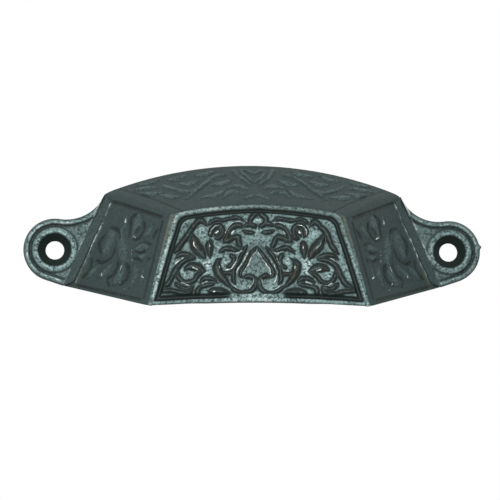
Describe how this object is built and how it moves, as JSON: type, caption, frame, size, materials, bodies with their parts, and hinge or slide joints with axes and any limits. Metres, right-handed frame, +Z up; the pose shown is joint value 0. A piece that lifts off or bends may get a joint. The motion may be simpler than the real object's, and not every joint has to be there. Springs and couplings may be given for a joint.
{
  "type": "drawer pull",
  "caption": "Cast-iron bin pull: a hooded cup with an arched roof and slanting panels, carved with scrollwork, and a screw ear at each end.",
  "frame": {"origin": "midway between the two screw holes, on the plane of the back face", "axes": "+X along the line of the holes, towards the right as seen from the front; +Y into the drawer front; +Z up. The hood stands out towards -Y."},
  "size_m": [0.1046, 0.0222, 0.0346],
  "materials": {
    "cast_iron": "sand-cast, dark blue-grey patina, worn bright on the crests"
  },
  "bodies": {
    "root": {"pull_casting": "cast_iron"}
  },
  "joints": []
}
